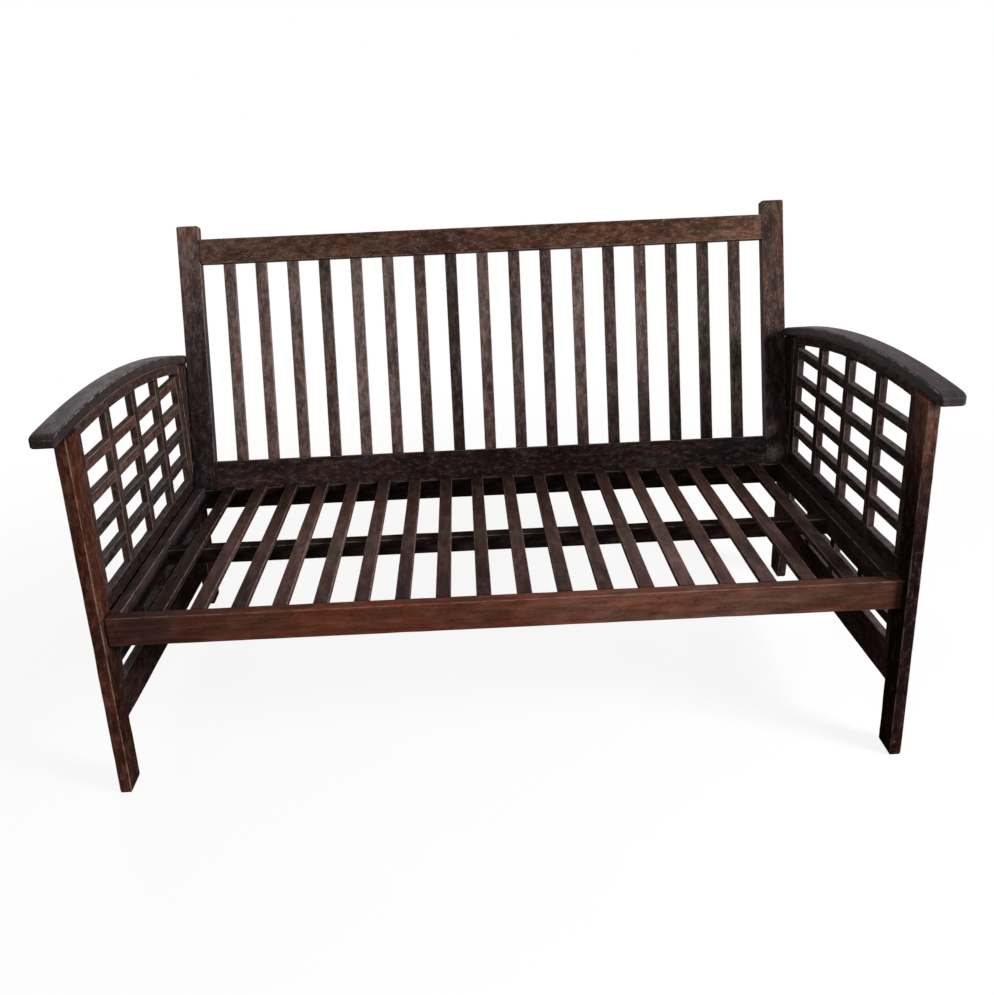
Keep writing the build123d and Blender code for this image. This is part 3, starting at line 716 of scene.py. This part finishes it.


# Tints are one colour, or stops of a share of the board's length and a colour
# The rear rail and the centre beam are very dark: painted shade under the seat.
REAR_RAIL_TINT = (0.0105, 0.006, 0.006)
BEAM_TINT = (0.017, 0.010, 0.0095)
LEFT_SIDE_RAIL_TINT = (0.041, 0.028, 0.030)
RIGHT_SIDE_RAIL_TINT = (0.028, 0.0165, 0.017)
FRONT_RAIL_TINT = (
    (0.05, (0.048, 0.021, 0.017)), (0.25, (0.100, 0.034, 0.019)), (0.45, (0.092, 0.030, 0.018)),
    (0.62, (0.118, 0.048, 0.034)), (0.80, (0.100, 0.045, 0.031)), (0.95, (0.057, 0.025, 0.017)),
)
# Seat slats get darker towards the rear end: partly their own tone, partly painted shade at the back of
# the seat.
SEAT_SLAT_TINT = (
    (0.0, (0.061, 0.036, 0.034)), (0.45, (0.107, 0.063, 0.055)), (0.75, (0.073, 0.037, 0.030)),
    (1.0, (0.031, 0.017, 0.0155)),
)

# How light each slat is, from left to right
SEAT_SLAT_LEVELS = (
    0.39, 0.74, 0.6, 0.9, 1.0, 0.8, 0.62, 0.5, 0.58,
    0.57, 0.67, 0.82, 1.2, 1.35, 1.05, 1.35, 0.97, 0.45,
)


def seat():
    """Rails, beam and slats of the seat."""
    setback, thickness, height = FRONT_RAIL
    cross_board("seat_front_rail", INNER_HALF + HAIR, setback, thickness, SEAT_HEIGHT - height, height,
                FRONT_RAIL_TINT, wear=0.6)
    thickness, height = REAR_RAIL
    cross_board("seat_rear_rail", INNER_HALF + HAIR, BACK_FOOT_FRONT, thickness,
                BACK_FOOT_HEIGHT - height, height, REAR_RAIL_TINT)
    front, thickness, height = BEAM
    cross_board("seat_centre_beam", SIDE_RAIL_INNER + EMBED, front, thickness, SLAT_LOW - height, height,
                BEAM_TINT)
    side_rail("left", -1, LEFT_SIDE_RAIL_TINT)
    side_rail("right", 1, RIGHT_SIDE_RAIL_TINT)
    span = 2 * (SIDE_RAIL_INNER - SEAT_SLAT_END_GAP) - SEAT_SLAT[0]
    for i in range(SEAT_SLAT_COUNT):
        level = random.uniform(*SEAT_SLAT_SHADES) * SEAT_SLAT_LEVELS[i]
        seat_slat(i + 1, (i / (SEAT_SLAT_COUNT - 1) - 0.5) * span, dimmed(SEAT_SLAT_TINT, level))


# Back
def stile(hand, side, tint):
    """Leaning stile of the back."""
    _, width, thickness, length = STILE

    def place(s, a, b):
        y = thickness / 2 + b
        z = between(y * math.tan(LEAN), length, s / length)
        return leaned(side * (STILE_INNER + width / 2 + a), y, z)

    node = f"back_{hand}_stile"
    size = (length, width / 2, thickness / 2)
    board(f"{node}_board", [node], "back_wood", size, place, tint, rounding=0.002, free=(False, True),
          wear=1.1, ease=STILE_EASE)


def back_rail(kind, limits, tint):
    """Top or lower rail of the back."""
    low, high = limits
    half = (high - low) / 2
    half_length = STILE_INNER + EMBED

    def place(s, a, b):
        y = BACK_RAIL_THICKNESS / 2 + b
        bottom = max(low, y * math.tan(LEAN))
        return leaned(s - half_length, y, between(bottom, high, (a + half) / (2 * half)))

    node = f"back_{kind}_rail"
    size = (2 * half_length, half, BACK_RAIL_THICKNESS / 2)
    board(f"{node}_board", [node], "back_wood", size, place, tint, wear=1.2)


def back_slat(number, x, tint):
    """One slat of the back, let into both rails."""
    recess, width, thickness = BACK_SLAT
    low = LOWER_BACK_RAIL[1] - EMBED
    length = TOP_BACK_RAIL[0] + EMBED - low

    def place(s, a, b):
        return leaned(x + a, recess + thickness / 2 + b, low + s)

    node = f"back_slat_{number:02d}"
    size = (length, width / 2, thickness / 2)
    board(f"{node}_board", [node], "back_wood", size, place, tint, **SLAT_TRAITS)


# The left stile gets darker towards its foot: painted shade low in the back.
LEFT_STILE_TINT = (
    (0.0, (0.013, 0.0085, 0.0105)), (0.5, (0.025, 0.0165, 0.0175)), (0.7, (0.060, 0.041, 0.040)),
    (1.0, (0.108, 0.066, 0.053)),
)
# The right stile is darker below the armrest: painted shadow of the right arm.
RIGHT_STILE_TINT = (
    (0.0, (0.0145, 0.010, 0.011)), (0.4, (0.024, 0.014, 0.016)), (0.6, (0.043, 0.026, 0.022)),
    (1.0, (0.043, 0.026, 0.020)),
)
TOP_RAIL_TINT = (
    (0.0, (0.082, 0.046, 0.032)), (0.25, (0.058, 0.030, 0.020)), (0.45, (0.061, 0.029, 0.020)),
    (0.8, (0.064, 0.033, 0.021)), (1.0, (0.086, 0.047, 0.032)),
)
# Mostly darker towards the right end: painted shadow of the right arm.
LOWER_RAIL_TINT = (
    (0.0, (0.0215, 0.013, 0.0125)), (0.5, (0.0145, 0.007, 0.0068)), (0.65, (0.012, 0.006, 0.006)),
    (0.8, (0.019, 0.011, 0.011)), (1.0, (0.009, 0.006, 0.0068)),
)
BACK_SLAT_TINT = (
    (0.0, (0.060, 0.038, 0.036)), (0.35, (0.090, 0.062, 0.058)), (0.7, (0.092, 0.064, 0.058)),
    (1.0, (0.080, 0.052, 0.045)),
)

# How light each slat is, from left to right
BACK_SLAT_LEVELS = (
    1.15, 1.15, 1.3, 0.6, 1.0, 0.84, 0.6, 0.3, 0.88, 0.68, 0.45, 1.05, 0.6, 0.72, 0.43, 0.42, 0.6,
)
SHADED_LOW = 0.4                # level of the last slat's low end, where the right arm keeps it in shade


def back():
    """Stiles, rails and slats of the back."""
    stile("left", -1, LEFT_STILE_TINT)
    stile("right", 1, RIGHT_STILE_TINT)
    back_rail("top", TOP_BACK_RAIL, TOP_RAIL_TINT)
    back_rail("lower", LOWER_BACK_RAIL, LOWER_RAIL_TINT)
    span = 2 * (STILE_INNER - BACK_SLAT_END_GAP) - BACK_SLAT[1]
    for i in range(BACK_SLAT_COUNT):
        share = i / (BACK_SLAT_COUNT - 1)
        tint = dimmed(BACK_SLAT_TINT, random.uniform(*BACK_SLAT_SHADES) * BACK_SLAT_LEVELS[i])
        # Painted shadow of the right arm: in the right half, a slat's low end darkens more the further
        # right it stands.
        low = dimmed(tint[:1], between(1.0, SHADED_LOW, max(0.0, 2 * share - 1)))
        back_slat(i + 1, (share - 0.5) * span, low + tint[1:])


# Stage
def seen_share(nodes):
    """1 for the rays that show the background, 0 for those that only carry light."""
    rays = nodes.add("ShaderNodeLightPath").outputs
    seen = nodes.math("MAXIMUM", rays["Is Camera Ray"], rays["Is Glossy Ray"])
    return nodes.math("MAXIMUM", seen, rays["Is Transmission Ray"])


def stage():
    """White floor that keeps a soft shadow near the settle and melts into the white surrounding."""
    bpy.ops.mesh.primitive_plane_add(size=FLOOR_SIZE, location=(0, 0, 0))
    floor = bpy.context.object
    floor.name = "floor"
    material = bpy.data.materials.new("white_floor")
    nodes = Nodes(material)
    place = nodes.add("ShaderNodeTexCoord").outputs["Object"]
    distance = nodes.add("ShaderNodeVectorMath", {0: place}, operation="LENGTH").outputs["Value"]
    glow_share = nodes.remap(distance, GLOW_START, GLOW_END, GLOW_NEAR, 1.0)
    dull = nodes.add("ShaderNodeBsdfDiffuse", {"Color": FLOOR_BOUNCE}).outputs[0]
    white = nodes.add("ShaderNodeBsdfDiffuse", {"Color": FLOOR_COLOUR}).outputs[0]
    glow = nodes.add("ShaderNodeEmission", {"Color": WHITE, "Strength": 1.0}).outputs[0]
    pale = nodes.add("ShaderNodeMixShader", {0: glow_share, 1: white, 2: glow}).outputs[0]
    mixed = nodes.add("ShaderNodeMixShader", {0: seen_share(nodes), 1: dull, 2: pale}).outputs[0]
    nodes.add("ShaderNodeOutputMaterial", {0: mixed})
    floor.data.materials.append(material)


def surrounding():
    """World that is white to look at and a plain soft light on the object."""
    world = bpy.data.worlds.new("soft_room")
    bpy.context.scene.world = world
    nodes = Nodes(world)
    light = nodes.add("ShaderNodeBackground", {"Color": WHITE, "Strength": ROOM_LIGHT}).outputs[0]
    white = nodes.add("ShaderNodeBackground", {"Color": WHITE, "Strength": 1.0}).outputs[0]
    mixed = nodes.add("ShaderNodeMixShader", {0: seen_share(nodes), 1: light, 2: white}).outputs[0]
    nodes.add("ShaderNodeOutputWorld", {0: mixed})


def lamp(name, place, target, size, power):
    """Soft square lamp, aimed at a point."""
    data = bpy.data.lights.new(name, "AREA")
    data.size = size
    data.energy = power
    piece = bpy.data.objects.new(name, data)
    bpy.context.scene.collection.objects.link(piece)
    piece.location = place
    piece.rotation_mode = "QUATERNION"
    piece.rotation_quaternion = (Vector(target) - Vector(place)).to_track_quat("-Z", "Y")


def camera():
    """Camera at the photograph's place, in the untipped frame, then tipped with it."""
    width, height = IMAGE_SIZE
    centre_x, centre_y = IMAGE_CENTRE
    right = Vector((math.cos(CAMERA_YAW), math.sin(CAMERA_YAW), 0))
    level = Vector((-math.sin(CAMERA_YAW), math.cos(CAMERA_YAW), 0))
    ahead = level * math.cos(CAMERA_PITCH) - Vector((0, 0, math.sin(CAMERA_PITCH)))
    down = ahead.cross(right)
    image_x = right * math.cos(CAMERA_ROLL) + down * math.sin(CAMERA_ROLL)
    image_y = down * math.cos(CAMERA_ROLL) - right * math.sin(CAMERA_ROLL)
    turned = Matrix((image_x, -image_y, -ahead)).transposed().to_4x4()
    data = bpy.data.cameras.new("camera")
    data.sensor_width = SENSOR_WIDTH
    data.lens = FOCAL_LENGTH * SENSOR_WIDTH / height
    data.shift_x = (width / 2 - centre_x) / height
    data.shift_y = (centre_y - height / 2) / height
    piece = bpy.data.objects.new("camera", data)
    bpy.context.scene.collection.objects.link(piece)
    piece.matrix_world = TIP @ Matrix.Translation(CAMERA_PLACE) @ turned
    bpy.context.scene.camera = piece


# Tints of the arms' pieces. "inner" is the level of the painted seat shade on the front post's inner
# face below the seat, and
# "bars" goes from the lowest upper bar to the highest
ARM_TINTS = {
    "left": {
        "post": ((0.0, (0.075, 0.031, 0.021)), (0.3, (0.058, 0.021, 0.014)),
                 (1.0, (0.056, 0.021, 0.0135))),
        "rear": (0.040, 0.024, 0.021), "inner": 0.42,
        # lighter and bluish grey towards the rear end: painted sheen of the bright surrounding seen at a
        # grazing angle
        "armrest": ((0.0, (0.023, 0.017, 0.018)), (1.0, (0.046, 0.033, 0.033))),
        "middle": (0.021, 0.0125, 0.0125), "bottom": (0.024, 0.013, 0.012),
        "arch": (0.052, 0.032, 0.029), "upright": (0.045, 0.028, 0.025),
        "bars": ((0.032, 0.024, 0.024), (0.036, 0.026, 0.025), (0.066, 0.040, 0.035),
                 (0.070, 0.041, 0.034)),
    },
    "right": {
        "post": ((0.0, (0.0215, 0.009, 0.0083)), (0.2, (0.014, 0.0066, 0.0066)),
                 (0.6, (0.0135, 0.007, 0.007)), (0.8, (0.027, 0.0125, 0.011)),
                 (1.0, (0.128, 0.064, 0.046))),
        "rear": (0.030, 0.018, 0.016), "inner": 1.0,
        # lighter and bluish grey towards the rear end: painted sheen of the bright surrounding seen at a
        # grazing angle
        "armrest": ((0.0, (0.032, 0.028, 0.031)), (0.5, (0.062, 0.050, 0.054)),
                    (1.0, (0.088, 0.072, 0.076))),
        "middle": (0.024, 0.014, 0.015), "bottom": (0.045, 0.023, 0.023),
        "arch": (0.050, 0.032, 0.028), "upright": (0.036, 0.024, 0.024),
        "bars": ((0.036, 0.025, 0.024), (0.036, 0.025, 0.025), (0.036, 0.028, 0.028),
                 (0.036, 0.028, 0.028)),
    },
}

arm("left", -1, ARM_TINTS["left"])
arm("right", 1, ARM_TINTS["right"])
seat()
back()
steel = steel_material()
for node in ("seat_bolts", "back_bolts"):
    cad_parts[node].data.materials.clear()
    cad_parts[node].data.materials.append(steel)
stage()
surrounding()
for settings in LAMPS:
    lamp(*settings)
camera()
bpy.context.scene.view_settings.view_transform = "Standard"
